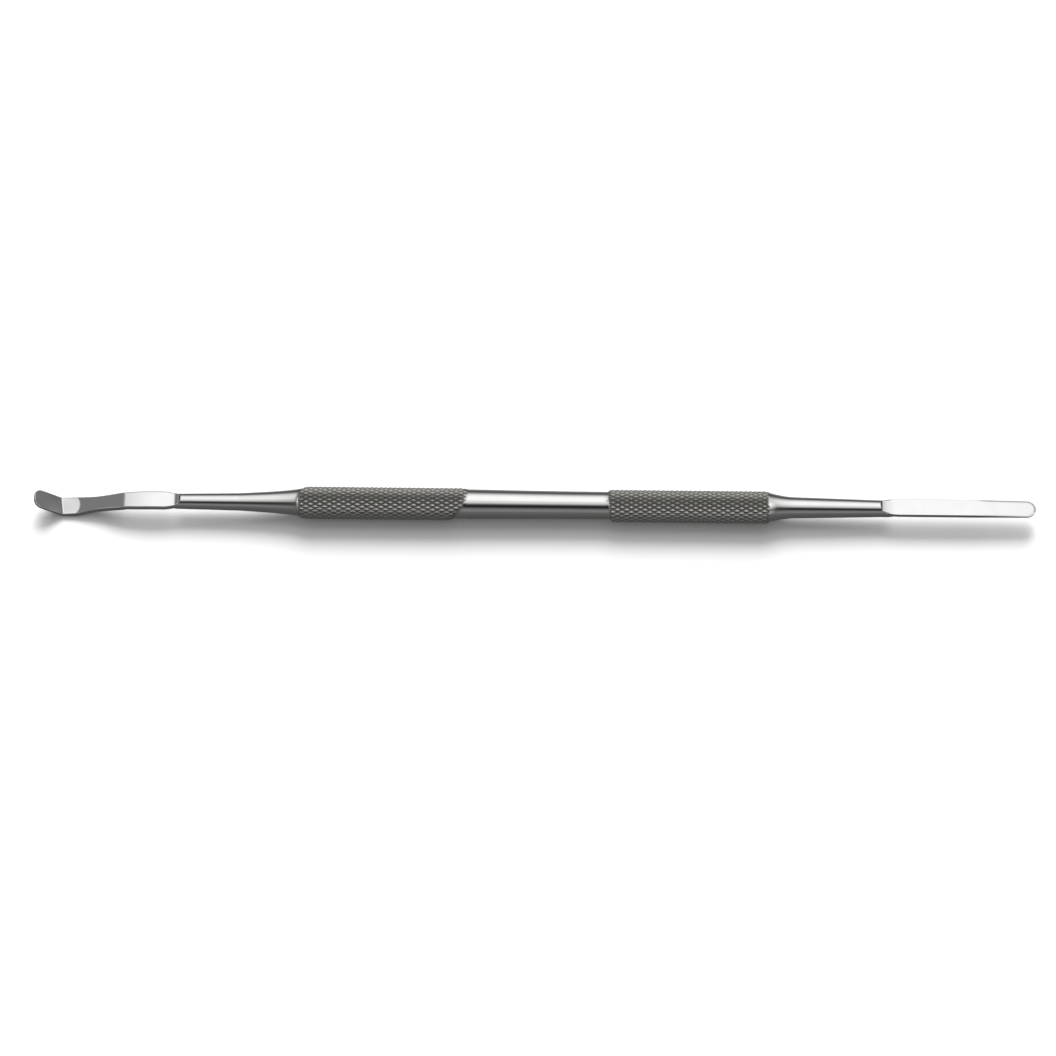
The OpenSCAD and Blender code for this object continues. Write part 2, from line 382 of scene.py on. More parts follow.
def plainSections():
    # outlines of [x, radius]; each becomes a turned strip with as many sides as the knurl has
    s = handleSizes
    t = np.linspace(0, 1, 30)
    x = mix(pusherJointX, pusherKnurlX - s["earlyStart"], t)
    pusherFlare = np.c_[x, flareRadius(x)]
    pusherEnd, spatulaEnd = pusherJointX + boreLength, spatulaJointX - boreLength
    pusherBore = np.array([[pusherEnd, 0], [pusherEnd, boreRadius], [pusherJointX, boreRadius]])
    centre = np.c_[mix(centreX, spatulaKnurlX, t), mix(
        s["centreDiameterPusher"] / 2, s["centreDiameterSpatula"] / 2, np.sin(t * math.pi / 2))]
    neck, top = s["spatulaNeckDiameter"] / 2, s["flareTopDiameter"] / 2
    spatulaFlare = np.c_[mix(spatulaFlareX, spatulaJointX, t),
                         mix(neck, top, (1 - t) ** s["shortFlarePower"])]
    spatulaBore = np.array([[spatulaJointX, boreRadius], [spatulaEnd, boreRadius], [spatulaEnd, 0]])
    return [np.vstack([pusherBore, pusherFlare]), centre, np.vstack([spatulaFlare, spatulaBore])]


def turnedStrips(outlines):
    points, faces = [], []
    turn = np.arange(around) * 2 * math.pi / around
    for outline in outlines:
        rings = []
        for x, r in outline:
            if r == 0:
                rings.append([len(points)])
                points.append((x * mm, 0, 0))
                continue
            rings.append(list(range(len(points), len(points) + around)))
            points += [(x * mm, r * mm * math.cos(a), r * mm * math.sin(a)) for a in turn]
        for a, b in zip(rings, rings[1:]):
            for i in range(around):
                j = (i + 1) % around
                corners = [a[i % len(a)], a[j % len(a)], b[j % len(b)], b[i % len(b)]]
                faces.append([c for k, c in enumerate(corners) if c not in corners[:k]])
    return points, faces


def store(tree, geometry, name, value, kind, domain):
    node = addNode(tree, "GeometryNodeStoreNamedAttribute", data_type=kind, domain=domain, inputs={
        "Geometry": geometry, "Name": name, "Value": value})
    return node.outputs["Geometry"]


def readFlag(tree, name):
    node = addNode(tree, "GeometryNodeInputNamedAttribute", data_type="BOOLEAN", inputs={"Name": name})
    return node.outputs["Attribute"]


def makeKnurlBand():
    # one knurled tube from Start to End; teeth are diamonds between two sets of crossing grooves
    tree, source, target = nodeGroup(
        "knurlBand", "GeometryNodeTree",
        [("Start", "NodeSocketFloat", 0.0), ("End", "NodeSocketFloat", 0.025),
         ("Start radius", "NodeSocketFloat", 0.00225), ("Knee radius", "NodeSocketFloat", 0.00225),
         ("End radius", "NodeSocketFloat", 0.00225), ("Knee", "NodeSocketFloat", 0.0),
         ("Start slant", "NodeSocketFloat", 0.0), ("End slant", "NodeSocketFloat", 0.0),
         ("Start slant at", "NodeSocketFloat", 0.0), ("End slant at", "NodeSocketFloat", 0.0),
         ("Crest radius", "NodeSocketFloat", 0.0024), ("Depth", "NodeSocketFloat", 0.0002),
         ("Teeth", "NodeSocketInt", 20), ("Steps per tooth", "NodeSocketInt", 10),
         ("Half rows", "NodeSocketInt", 36), ("Crest flat", "NodeSocketFloat", 0.8),
         ("Start run-out", "NodeSocketFloat", 0.0006), ("End run-out", "NodeSocketFloat", 0.0006)],
        [("Geometry", "NodeSocketGeometry")])
    out, s = source.outputs, handleSizes
    length = math1(tree, "SUBTRACT", out["End"], out["Start"])
    halfSteps = math1(tree, "DIVIDE", out["Steps per tooth"], 2.0)
    cellsX = math1(tree, "MULTIPLY", out["Half rows"], halfSteps)
    cellsY = math1(tree, "MULTIPLY", out["Teeth"], out["Steps per tooth"])
    grid = addNode(tree, "GeometryNodeMeshGrid", inputs={
        "Size X": 1.0, "Size Y": 1.0,
        "Vertices X": math1(tree, "ADD", cellsX, 1.0), "Vertices Y": math1(tree, "ADD", cellsY, 1.0)})
    where = addNode(tree, "GeometryNodeInputPosition")
    parts = addNode(tree, "ShaderNodeSeparateXYZ", inputs={0: where.outputs[0]})
    along = math1(tree, "ADD", parts.outputs["X"], 0.5)
    aroundShare = math1(tree, "ADD", parts.outputs["Y"], 0.5)
    row = math1(tree, "MULTIPLY", math1(tree, "MULTIPLY", along, out["Half rows"]), 0.5)
    tooth = math1(tree, "MULTIPLY", aroundShare, out["Teeth"])

    def wave(value):
        # 0 in a groove, 1 halfway between two grooves
        return math1(tree, "MULTIPLY", math1(tree, "PINGPONG", value, 0.5), 2.0)

    crossing = math1(tree, "SMOOTH_MIN", wave(math1(tree, "ADD", tooth, row)),
                     wave(math1(tree, "SUBTRACT", tooth, row)), s["grooveRounding"])
    crested = math1(tree, "SMOOTH_MIN", crossing, out["Crest flat"], s["crestRounding"])
    capped = math1(tree, "DIVIDE", crested, out["Crest flat"])
    angle = math1(tree, "MULTIPLY", aroundShare, 2 * math.pi)
    x = math1(tree, "ADD", out["Start"], math1(tree, "MULTIPLY", along, length))

    def fade(distance, slant, latest, runOut):
        # each end of the band runs slightly askew round the bar, and its teeth fade in over the run-out
        swing = math1(tree, "COSINE", math1(tree, "SUBTRACT", angle, latest))
        share = math1(tree, "POWER", math1(tree, "MULTIPLY_ADD", swing, 0.5, 0.5), 2.0)
        node = addNode(tree, "ShaderNodeMapRange", interpolation_type="SMOOTHSTEP", inputs={
            "Value": math1(tree, "SUBTRACT", distance, math1(tree, "MULTIPLY", slant, share)),
            "From Min": 0.0, "From Max": runOut})
        return node.outputs[0]

    fromStart = math1(tree, "SUBTRACT", x, out["Start"])
    fromEnd = math1(tree, "SUBTRACT", out["End"], x)
    inBand = math1(tree, "MULTIPLY",
                   fade(fromStart, out["Start slant"], out["Start slant at"], out["Start run-out"]),
                   fade(fromEnd, out["End slant"], out["End slant at"], out["End run-out"]))
    taper = addNode(tree, "ShaderNodeMapRange", inputs={
        "Value": fromStart, "From Min": 0.0, "From Max": math1(tree, "MAXIMUM", out["Knee"], 1e-7),
        "To Min": out["Start radius"], "To Max": out["Knee radius"]})
    rest = addNode(tree, "ShaderNodeMapRange", inputs={
        "Value": fromStart, "From Min": out["Knee"], "From Max": length,
        "To Min": 0.0, "To Max": math1(tree, "SUBTRACT", out["End radius"], out["Knee radius"])})
    plain = math1(tree, "ADD", taper.outputs[0], rest.outputs[0])
    lift = math1(tree, "SUBTRACT", out["Crest radius"], out["Knee radius"])
    crest = math1(tree, "MINIMUM", out["Crest radius"], math1(
        tree, "ADD", plain, math1(tree, "MAXIMUM", lift, 0.0)))
    toothed = math1(tree, "SUBTRACT", crest, math1(
        tree, "MULTIPLY", math1(tree, "SUBTRACT", 1.0, capped), out["Depth"]))
    radius = math1(tree, "ADD", plain, math1(
        tree, "MULTIPLY", math1(tree, "SUBTRACT", toothed, plain), inBand))
    place = addNode(tree, "ShaderNodeCombineXYZ", inputs={
        0: x, 1: math1(tree, "MULTIPLY", radius, math1(tree, "COSINE", angle)),
        2: math1(tree, "MULTIPLY", radius, math1(tree, "SINE", angle))})
    heights = store(tree, grid.outputs["Mesh"], "toothHeight", capped, "FLOAT", "POINT")
    cuts = store(tree, heights, "knurled", inBand, "FLOAT", "POINT")

    # split each square along its groove, so that grooves stay straight
    cell = math1(tree, "ADD", math1(tree, "FLOOR", math1(tree, "MULTIPLY", row, 2.0)),
                 math1(tree, "FLOOR", math1(tree, "MULTIPLY", tooth, 2.0)))
    evenOffset = 4000.0  # keeps the remainder positive
    remainder = math1(tree, "MODULO", math1(tree, "ADD", cell, evenOffset), 2.0)
    odd = math1(tree, "GREATER_THAN", remainder, 0.5)
    oneWay = addNode(tree, "GeometryNodeTriangulate", quad_method="FIXED", inputs={
        "Mesh": store(tree, cuts, "oddCell", odd, "BOOLEAN", "FACE"),
        "Selection": readFlag(tree, "oddCell")})
    otherWay = addNode(tree, "GeometryNodeTriangulate", quad_method="FIXED_ALTERNATE", inputs={
        "Mesh": oneWay.outputs["Mesh"]})
    moved = addNode(tree, "GeometryNodeSetPosition", inputs={
        "Geometry": otherWay.outputs["Mesh"], "Position": place.outputs[0]})
    banded = store(tree, moved.outputs["Geometry"], "inBand", True, "BOOLEAN", "FACE")
    tree.links.new(banded, target.inputs["Geometry"])
    return tree


def makeHandleTree(band):
    tree, source, target = nodeGroup(
        "knurledHandle", "GeometryNodeTree",
        [("Geometry", "NodeSocketGeometry", None), ("Teeth", "NodeSocketInt", 20),
         ("Pitch", "NodeSocketFloat", 0.0014), ("Tooth depth", "NodeSocketFloat", 0.0002),
         ("Crest radius", "NodeSocketFloat", 0.0024), ("Band material", "NodeSocketMaterial", None)],
        [("Geometry", "NodeSocketGeometry")])
    s = handleSizes
    start, underside = pusherKnurlX - s["earlyStart"], math.radians(s["undersideAt"])
    bands = [
        {"Start": start, "End": centreX, "Knee": s["earlyStart"],
         "Start radius": flareRadius(start), "Knee radius": s["pusherFlareDiameter"] / 2,
         "End radius": s["centreDiameterPusher"] / 2, "Start slant": s["pusherSlant"],
         "End slant": s["centreSlant"], "Start run-out": s["pusherRunOut"],
         "End run-out": s["softRunOut"],
         "Start slant at": math.radians(s["pusherSlantAt"]) / mm},
        {"Start": spatulaKnurlX, "End": spatulaFlareX, "Knee": 0.0,
         "Start radius": s["centreDiameterSpatula"] / 2, "Knee radius": s["centreDiameterSpatula"] / 2,
         "End radius": s["flareTopDiameter"] / 2, "Start slant": s["stepSlant"],
         "End slant": 0.0, "Start run-out": s["crispRunOut"], "End run-out": s["crispRunOut"],
         "Start slant at": underside / mm},
    ]
    join = tree.nodes.new("GeometryNodeJoinGeometry")
    tree.links.new(source.outputs["Geometry"], join.inputs[0])
    for lengths in bands:
        rows = 2 * (lengths["End"] - lengths["Start"]) * mm
        halfRows = math1(tree, "ROUND", math1(tree, "DIVIDE", rows, source.outputs["Pitch"]))
        node = addNode(tree, "GeometryNodeGroup", node_tree=band, inputs={
            **{name: value * mm for name, value in lengths.items()}, "End slant at": underside,
            "Crest radius": source.outputs["Crest radius"], "Depth": source.outputs["Tooth depth"],
            "Teeth": source.outputs["Teeth"], "Steps per tooth": s["stepsPerTooth"],
            "Half rows": halfRows, "Crest flat": s["crestFlat"]})
        tree.links.new(node.outputs[0], join.inputs[0])
    merged = addNode(tree, "GeometryNodeMergeByDistance", inputs={
        "Geometry": join.outputs[0], "Distance": s["mergeGap"] * mm})
    real = addNode(tree, "GeometryNodeRealizeInstances", inputs={"Geometry": merged.outputs[0]})
    painted = addNode(tree, "GeometryNodeSetMaterial", inputs={
        "Geometry": real.outputs[0], "Selection": readFlag(tree, "inBand"),
        "Material": source.outputs["Band material"]})
    tree.links.new(painted.outputs["Geometry"], target.inputs["Geometry"])
    return tree


def dropEmptySlots(mesh):
    indices = np.zeros(len(mesh.polygons), dtype=np.int32)
    mesh.polygons.foreach_get("material_index", indices)
    kept = [i for i, material in enumerate(mesh.materials) if material is not None]
    materials = [mesh.materials[i] for i in kept]
    mesh.materials.clear()
    for material in materials:
        mesh.materials.append(material)
    order = np.zeros(max(indices.max(), max(kept)) + 1, dtype=np.int32)
    order[kept] = range(len(kept))
    mesh.polygons.foreach_set("material_index", order[indices])


def makeHandle():
    s = handleSizes
    points, faces = turnedStrips(plainSections())
    raw = meshObject("handleBlank", points, faces, [polishedBar])
    modifier = raw.modifiers.new("knurls", "NODES")
    modifier.node_group = makeHandleTree(makeKnurlBand())
    values = {"Teeth": s["teeth"], "Pitch": s["pitch"] * mm, "Tooth depth": s["toothDepth"] * mm,
              "Crest radius": knurlRadius * mm, "Band material": knurledSteel}
    for item in modifier.node_group.interface.items_tree:
        if item.in_out == "INPUT" and item.name in values:
            modifier[item.identifier] = values[item.name]
    depsgraph = bpy.context.evaluated_depsgraph_get()
    mesh = bpy.data.meshes.new_from_object(raw.evaluated_get(depsgraph))
    mesh.name = "knurledHandle"
    bpy.data.objects.remove(raw)
    dropEmptySlots(mesh)
    piece = bpy.data.objects.new("knurledHandle", mesh)
    bpy.context.scene.collection.objects.link(piece)
    finishPiece(piece, s["sharpAngle"])
    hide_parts("handle")
    return piece


handle = makeHandle()
print("handle:", sum(len(f.vertices) - 2 for f in handle.data.polygons), "triangles",
      [material.name for material in handle.data.materials])


# working ends: one loft each, from the round shank through the shoulder to the flat

outlineSteps = {
    "side": 90, "flat": 39, "corner": 0.06,  # points down a side and across a flat, radians at a corner
    "ledge": 2.5,  # how steeply the plate's side runs in above and below it
    "cornerWeight": 1.3, "half": 44,  # share of a ring's points spent on corners, points in half a ring
}


def halfOutline(radius, circleN, slab, plate, width, edge):
    # round stock cut to a slab, joined to a flat plate of half width `width`; from the top's middle
    # round one side to the bottom's middle, as [y, n] points with every edge rounded
    r, w = max(radius - edge, 0), max(width - edge, 0)
    bottom, top = slab[0] + edge, slab[1] - edge
    n = top + (bottom - top) * (1 - np.cos(np.linspace(0, math.pi, outlineSteps["side"]))) / 2
    outside = np.maximum(n - plate[1] + edge, 0) + np.maximum(plate[0] + edge - n, 0)
    plateSide = w - outlineSteps["ledge"] * outside
    side = np.c_[np.maximum(np.sqrt(np.maximum(r * r - (n - circleN) ** 2, 0)), plateSide), n]
    across = np.linspace(0, 1, outlineSteps["flat"] + 1)[:-1]
    line = np.vstack([np.c_[across * side[0, 0], np.full(len(across), top)], side,
                      np.c_[side[-1, 0] * across[::-1], np.full(len(across), bottom)]])
    line = line[np.r_[True, np.hypot(*(line[1:] - line[:-1]).T) > 1e-6]]
    step = line[1:] - line[:-1]
    angle = np.unwrap(np.arctan2(step[:, 0], -step[:, 1]))
    angle = np.r_[math.pi / 2, angle, -math.pi / 2]
    out, turns = [], []
    for p, a, b in zip(line, angle, angle[1:]):
        count = max(1, int((a - b) / outlineSteps["corner"]))
        for k in range(count):
            t = a + (b - a) * (k + 0.5) / count
            out.append(p + edge * np.array([math.cos(t), math.sin(t)]))
            turns.append(t)
    out, turns = np.array(out), np.array(turns)
    out[0, 0] = out[-1, 0] = 0
    return out, turns


def resample(line, turns):
    # the same number of points on every outline, closer together where it turns
    ds = np.hypot(*(line[1:] - line[:-1]).T)
    dt = np.abs(turns[1:] - turns[:-1])
    turned = outlineSteps["cornerWeight"] * dt / max(dt.sum(), 1e-9)
    measure = np.r_[0, np.cumsum(ds / ds.sum() + turned)]
    at = np.linspace(0, measure[-1], outlineSteps["half"] + 1)
    return np.c_[np.interp(at, measure, line[:, 0]), np.interp(at, measure, line[:, 1])]


def scoopedLevel(u, level, radius, scoop, inset):
    # height of a flat behind its scoop, u along the tool from the shoulder
    end = inset + math.sqrt(scoop ** 2 - (scoop - (radius - level)) ** 2)
    if u <= inset:
        return radius
    return level if u >= end else level + scoop - math.sqrt(scoop ** 2 - (end - u) ** 2)


def loft(name, rings):
    # rings of [x, y, z] in order along the tool, closed at both ends
    count = len(rings[0])
    points = [tuple(p * mm) for ring in rings for p in ring]
    faces = []
    for i in range(len(rings) - 1):
        a, b = i * count, (i + 1) * count
        faces += [(a + k, a + (k + 1) % count, b + (k + 1) % count, b + k) for k in range(count)]
    for ring, turn in ((0, 1), (len(rings) - 1, -1)):
        centre = len(points)
        points.append(tuple(rings[ring].mean(axis=0) * mm))
        a = ring * count
        faces += [(centre, a + (k + 1) % count, a + k)[::turn] for k in range(count)]
    return meshObject(name, points, faces, [polishedTip])


def ringFrom(half, place):
    # half outline to a full ring, put in space by place(y, n)
    other = half[-2:0:-1] * np.array([-1, 1])
    return np.array([place(y, n) for y, n in np.vstack([half, other])])


tangSizes = {"diameter": 1.5, "length": 10.0, "chamfer": 0.15, "edge": 0.1, "lip": 0.001}


def shankRings(jointX, towards, neckRadius, shankRadius, shoulderX, rise):
    # tang, then the cone of the shank, up to the shoulder
    s = tangSizes
    tang = s["diameter"] / 2
    stations = [(jointX - towards * s["length"], tang - s["chamfer"]),
                (jointX - towards * (s["length"] - s["chamfer"]), tang),
                (jointX - towards * s["lip"], tang), (jointX, neckRadius)]
    stations += [(mix(jointX, shoulderX, t), mix(neckRadius, shankRadius, t))
                 for t in np.linspace(0.02, 1, 26)]
    rings = []
    for x, r in stations:
        slab = (-r - rise, r - rise)
        half = resample(*halfOutline(r, -rise, slab, (0, 0), 0, min(s["edge"], r / 3)))
        rings.append(ringFrom(half, lambda y, n, x=x: (x, y, n + rise)))
    return rings


spatulaSizes = {
    "shankDiameter": 2.52, "shankLength": 13.1, "width": 2.76, "thickness": 0.68,
    "scoop": 3.5, "scoopInset": 0.1, "stockLength": 2.9, "flareLength": 3.0, "startInset": 0.3,
    "startMargin": 0.05, "edge": 0.07, "thinLength": 8.0, "thinBy": 0.24, "thinPower": 1.15,
    "stepStart": -0.3, "stepLength": 0.30, "stepDepth": 0.35, "rampLength": 1.8,
    "bevel": 0.34, "bevelDrop": 0.10, "bevelLength": 9.5, "bevelFade": 2.5,
    "bladeRings": 46, "sharpAngle": 38,
}


def makeSpatula():
    s = spatulaSizes
    shoulderX = spatulaJointX + s["shankLength"]
    rise = flatTop - s["thickness"] / 2
    radius, half, nose = s["shankDiameter"] / 2, s["thickness"] / 2, s["width"] / 2
    length = spatulaTipX - shoulderX
    rings = shankRings(spatulaJointX, 1, handleSizes["spatulaNeckDiameter"] / 2, radius,
                       shoulderX + s["stepStart"] - s["startMargin"], rise)
    startHalf = math.sqrt(radius ** 2 - flatTop ** 2) - s["startMargin"]
    noseTurn = np.linspace(0.04, 1, s["bladeRings"]) * math.pi / 2
    stations = np.r_[np.linspace(s["stepStart"], 0.2, 40),  # down the step
                     np.linspace(0.25, 4.0, 60),  # up the ramp to full width
                     np.linspace(4.3, length - nose, s["bladeRings"]),
                     length - nose + nose * np.sin(noseTurn) * 0.9998]  # just short of a point
    for u in stations:
        step = s["stepDepth"] * float(clamp01((u - s["stepStart"]) / s["stepLength"]))
        rampLeft = clamp01(1 - (u - s["stepStart"] - s["stepLength"]) / s["rampLength"])
        ramped = flatTop + (radius - s["stepDepth"] - flatTop) * rampLeft ** 2 + s["stepDepth"] - step
        top = min(radius - step, ramped) - rise
        bottom = -scoopedLevel(u, -(rise - half), radius, s["scoop"], s["scoopInset"]) - rise
        flared = clamp01((u + s["startInset"]) / s["flareLength"])
        width = mix(startHalf, nose, math.sin(flared * math.pi / 2))
        stock = radius if u < s["stockLength"] else 0
        left = max(length - u, 0)
        if left < nose:
            width = math.sqrt(max(nose ** 2 - (nose - left) ** 2, 1e-4))
        thin = s["thinBy"] * float(clamp01(1 - left / s["thinLength"]) ** s["thinPower"])
        edge = min(s["edge"], width * 0.45)
        fillet = s["edge"] - math.sqrt(max(s["edge"] ** 2 - max(s["edge"] - left, 0) ** 2, 0))
        slab = (bottom + thin * 0.5 + fillet, top - thin - fillet)
        outline = halfOutline(stock, -rise, slab, (-half, half), width, edge)
        x = shoulderX + u
        rings.append(ringFrom(resample(*outline), lambda y, n, x=x: (x, y, n + rise)))
    # ground bevel round the nose and along the end of both sides
    for ring in rings[-2 * s["bladeRings"]:]:
        left = spatulaTipX - ring[:, 0]
        fromNose, fromSide = nose - np.hypot(nose - left, ring[:, 1]), nose - np.abs(ring[:, 1])
        radial = np.where(left < nose, fromNose, fromSide)
        strength = smooth((ring[:, 0] - (spatulaTipX - s["bevelLength"])) / s["bevelFade"])
        drop = s["bevelDrop"] * clamp01(1 - radial / s["bevel"]) * strength
        ring[:, 2] -= np.where(ring[:, 2] > rise, drop, -drop * 0.5)
    piece = loft("spatulaTip", rings)
    finishPiece(piece, s["sharpAngle"])
    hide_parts("spatula_end")
    return piece


spatula = makeSpatula()
print("spatula:", len(spatula.data.polygons), "faces")


pusherSizes = {
    "shankDiameter": 2.3, "shankLength": 8.7, "padLength": 8.5, "padWidth": 2.82, "padThickness": 0.9,
    "padRise": 0.17, "padSag": 0.27, "sagLength": 4.2, "startInset": 0.3, "startMargin": 0.05,
    "scoop": 1.5, "scoopInset": 0.1, "overrun": 3.2, "stockLength": 2.9,
    "dropLength": 9.55, "facetSlope": 14.2, "foldDepth": 2.04, "foldRound": 0.12,
    "hollowLength": 2.85, "hollowSides": 1.85, "hollowHalfWidth": 1.45, "hollowBlend": 0.05,
    "bendBlend": 0.22, "foldSkew": 0.13, "skewReach": 1.7,
    "waistWidth": 2.24, "footWidth": 2.9, "footAngle": 36.0,
    "padFullAt": 0.35, "padNarrowsAt": 0.65, "waistAt": 0.42, "footAt": 0.85,  # shares of pad and drop
    "foldThickness": 0.64, "edgeThickness": 0.36, "cornerRadius": 1.15, "edge": 0.09, "padEdge": 0.24,
    "sharpAngle": 30,
}


def middleHeight(v, y=0.0):
    # the sharp profile below, eased at the bend
    s = pusherSizes
    if abs(v - s["padLength"]) > 2 * s["bendBlend"]:
        return sharpHeight(v, y)
    return sum(sharpHeight(v + k * s["bendBlend"], y) for k in np.linspace(-1, 1, 9)) / 9


def sharpHeight(v, y=0.0):
    # height of the pusher's middle surface at v, the distance from the shoulder towards the tip
    s = pusherSizes
    bend = s["padLength"]
    sag = s["padSag"] * clamp01((v - (bend - s["sagLength"])) / s["sagLength"]) ** 2
    if v <= bend:
        return s["padRise"] - sag + 0 * y
    slope = math.tan(math.radians(s["facetSlope"]))
    start = s["padRise"] - s["padSag"]
    facet = start - slope * (v - bend)
    left = bend + s["dropLength"] - v
    # the ground hollow: it begins along an arc across the plate and runs nearly level to the fold
    arc = np.sqrt(np.maximum(1 - (y / s["hollowHalfWidth"]) ** 2, 0))
    reach = s["hollowSides"] + (s["hollowLength"] - s["hollowSides"]) * arc
    edgeHeight = start - slope * (s["dropLength"] - reach)
    hollow = -s["foldDepth"] + (edgeHeight + s["foldDepth"]) * left / reach
    gap = (facet - hollow) / s["hollowBlend"]
    return hollow + s["hollowBlend"] * np.logaddexp(0, gap * 4) / 4


def pusherHalfWidth(v):
    s = pusherSizes
    bend = s["padLength"]
    radius = s["shankDiameter"] / 2
    padTop = s["padRise"] + s["padThickness"] / 2
    startHalf = math.sqrt(radius ** 2 - padTop ** 2) - s["startMargin"]
    wide, narrow = bend * s["padFullAt"], bend * s["padNarrowsAt"]
    waist, foot = bend + s["waistAt"] * s["dropLength"], bend + s["footAt"] * s["dropLength"]
    if v < narrow:
        return mix(startHalf, s["padWidth"] / 2, float(smooth((v + s["startInset"]) / wide)))
    if v < waist:
        return mix(s["padWidth"], s["waistWidth"], float(smooth((v - narrow) / (waist - narrow)))) / 2
    return mix(s["waistWidth"], s["footWidth"], float(smooth((v - waist) / (foot - waist)))) / 2


def makePusher():
    s = pusherSizes
    shoulderX = pusherJointX - s["shankLength"]
    rise, radius = s["padRise"], s["shankDiameter"] / 2
    rings = shankRings(pusherJointX, -1, handleSizes["pusherNeckDiameter"] / 2, radius, shoulderX, rise)
    flat = s["padLength"] + s["dropLength"]
    angle = math.radians(s["footAngle"])
    footRun = shoulderX - flat - pusherTipX - s["edgeThickness"] / 2 * math.sin(angle)
    footLength = footRun / math.cos(angle)
    # path of the middle surface: along the flats to the fold, then up the foot to its rounded end
    path = [(v, middleHeight(v), pusherHalfWidth(v)) for v in np.r_[
        np.linspace(0.03, 2.4, 60), np.linspace(2.5, s["padLength"] - 0.1, 40),
        np.linspace(s["padLength"], flat - s["foldRound"], 66)]]
    foldZ, corner = middleHeight(flat), s["cornerRadius"]
    cornerTurn = np.linspace(0.06, 1, 24) * math.pi / 2
    for t in np.r_[s["foldRound"], np.linspace(0.25, footLength - corner, 22),
                   footLength - corner + corner * np.sin(cornerTurn) * 0.9995]:
        past = max(t - (footLength - corner), 0)
        width = s["footWidth"] / 2 - corner + math.sqrt(max(corner ** 2 - past ** 2, 0))
        path.append((flat + t * math.cos(angle), foldZ + t * math.sin(angle), width))
    path = np.array(path)
    run = np.r_[0, np.cumsum(np.hypot(*(path[1:, :2] - path[:-1, :2]).T))]
    legs = path[1:, :2] - path[:-1, :2]
    legs /= np.hypot(*legs.T)[:, None]
    before, after = np.vstack([legs[:1], legs]), np.vstack([legs, legs[-1:]])
    tangent = before + after
    tangent /= np.hypot(*tangent.T)[:, None]
    stretch = 1 / np.maximum((tangent * after).sum(axis=1), 0.8)
    foldRun = run[np.argmin(np.abs(path[:, 0] - flat))]
    for (v, z, width), (tv, tz), wider, along in zip(path, tangent, stretch, run):
        left = run[-1] - along
        if v < s["padLength"]:
            thick = s["padThickness"]
        elif along < foldRun:
            thinning = clamp01((v - s["padLength"]) / s["dropLength"]) ** 3
            thick = mix(s["padThickness"], s["foldThickness"], float(thinning))
        else:
            thick = mix(s["foldThickness"], s["edgeThickness"], (along - foldRun) / (run[-1] - foldRun))
        top = bottom = thick / 2 * wider
        if v < s["overrun"]:
            top = scoopedLevel(v, rise + thick / 2, radius, s["scoop"], s["scoopInset"]) - rise
            bottom = scoopedLevel(v, -(rise - thick / 2), radius, s["scoop"], s["scoopInset"]) + rise
        softer = float(smooth((s["padLength"] + 0.4 - v) / 0.8) * smooth(v / 2.0))
        edge = min(mix(s["edge"], s["padEdge"], softer), width * 0.45, thick * 0.3)
        fillet = edge - math.sqrt(max(edge ** 2 - max(edge - left, 0) ** 2, 0))
        stock = radius if v < s["stockLength"] else 0
        slab = (fillet - bottom, top - fillet)
        outline = halfOutline(stock, -rise, slab, (-thick / 2, thick / 2), width, edge)
        ring = ringFrom(resample(*outline), lambda y, n: (shoulderX - v + n * tz, y, z + n * tv))
        if s["padLength"] + s["dropLength"] * 0.5 < v < flat:
            ring[:, 2] += middleHeight(v, ring[:, 1]) - z
        ring[:, 0] -= s["foldSkew"] * ring[:, 1] * math.exp(-((along - foldRun) / s["skewReach"]) ** 2)
        rings.append(ring)
    piece = loft("pusherTip", rings)
    finishPiece(piece, s["sharpAngle"])
    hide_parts("pusher_end")
    return piece


pusher = makePusher()
print("pusher:", len(pusher.data.polygons), "faces")


# camera, light and floor

viewLook = {
    "azimuth": 0.71, "elevation": 60.0, "lens": 200.0, "sensor": 36.0,
    "objectShare": 0.9485, "rightShare": 0.006345, "upShare": 0.021686,  # of the picture's width
    "nearest": 0.01, "farthest": 20,
}


def makeCamera(look):
    data = bpy.data.cameras.new("camera")
    data.lens, data.sensor_width = look["lens"], look["sensor"]
    camera = bpy.data.objects.new("camera", data)
    bpy.context.scene.collection.objects.link(camera)
    a, e = math.radians(look["azimuth"]), math.radians(look["elevation"])
    back = Vector((math.sin(a) * math.cos(e), -math.cos(a) * math.cos(e), math.sin(e)))
    frameWidth = (cadHigh.x - cadLow.x) / look["objectShare"]
    distance = frameWidth * look["lens"] / look["sensor"]
    turn = (-back).to_track_quat("-Z", "Y")
    right, up = turn @ Vector((1, 0, 0)), turn @ Vector((0, 1, 0))
    middle = (cadLow + cadHigh) / 2
    offset = right * look["rightShare"] + up * look["upShare"]
    camera.location = middle + back * distance - offset * frameWidth
    camera.rotation_mode = "QUATERNION"
    camera.rotation_quaternion = turn
    data.clip_start, data.clip_end = look["nearest"], look["farthest"]
    bpy.context.scene.camera = camera
    return camera


makeCamera(viewLook)
print("camera ready")

lightLook = {
    "keyStrength": 4.05, "keySpread": 36.0, "keyTilt": 51.0,
    "fillStrength": 0.5, "fillSpread": 36.0, "fillTilt": 24.0,
    "ambient": 0.37, "backdrop": 1.2,
}
floorLook = {"halfSize": 3.0, "gap": 0.00002, "tone": 0.9, "roughness": 0.9}


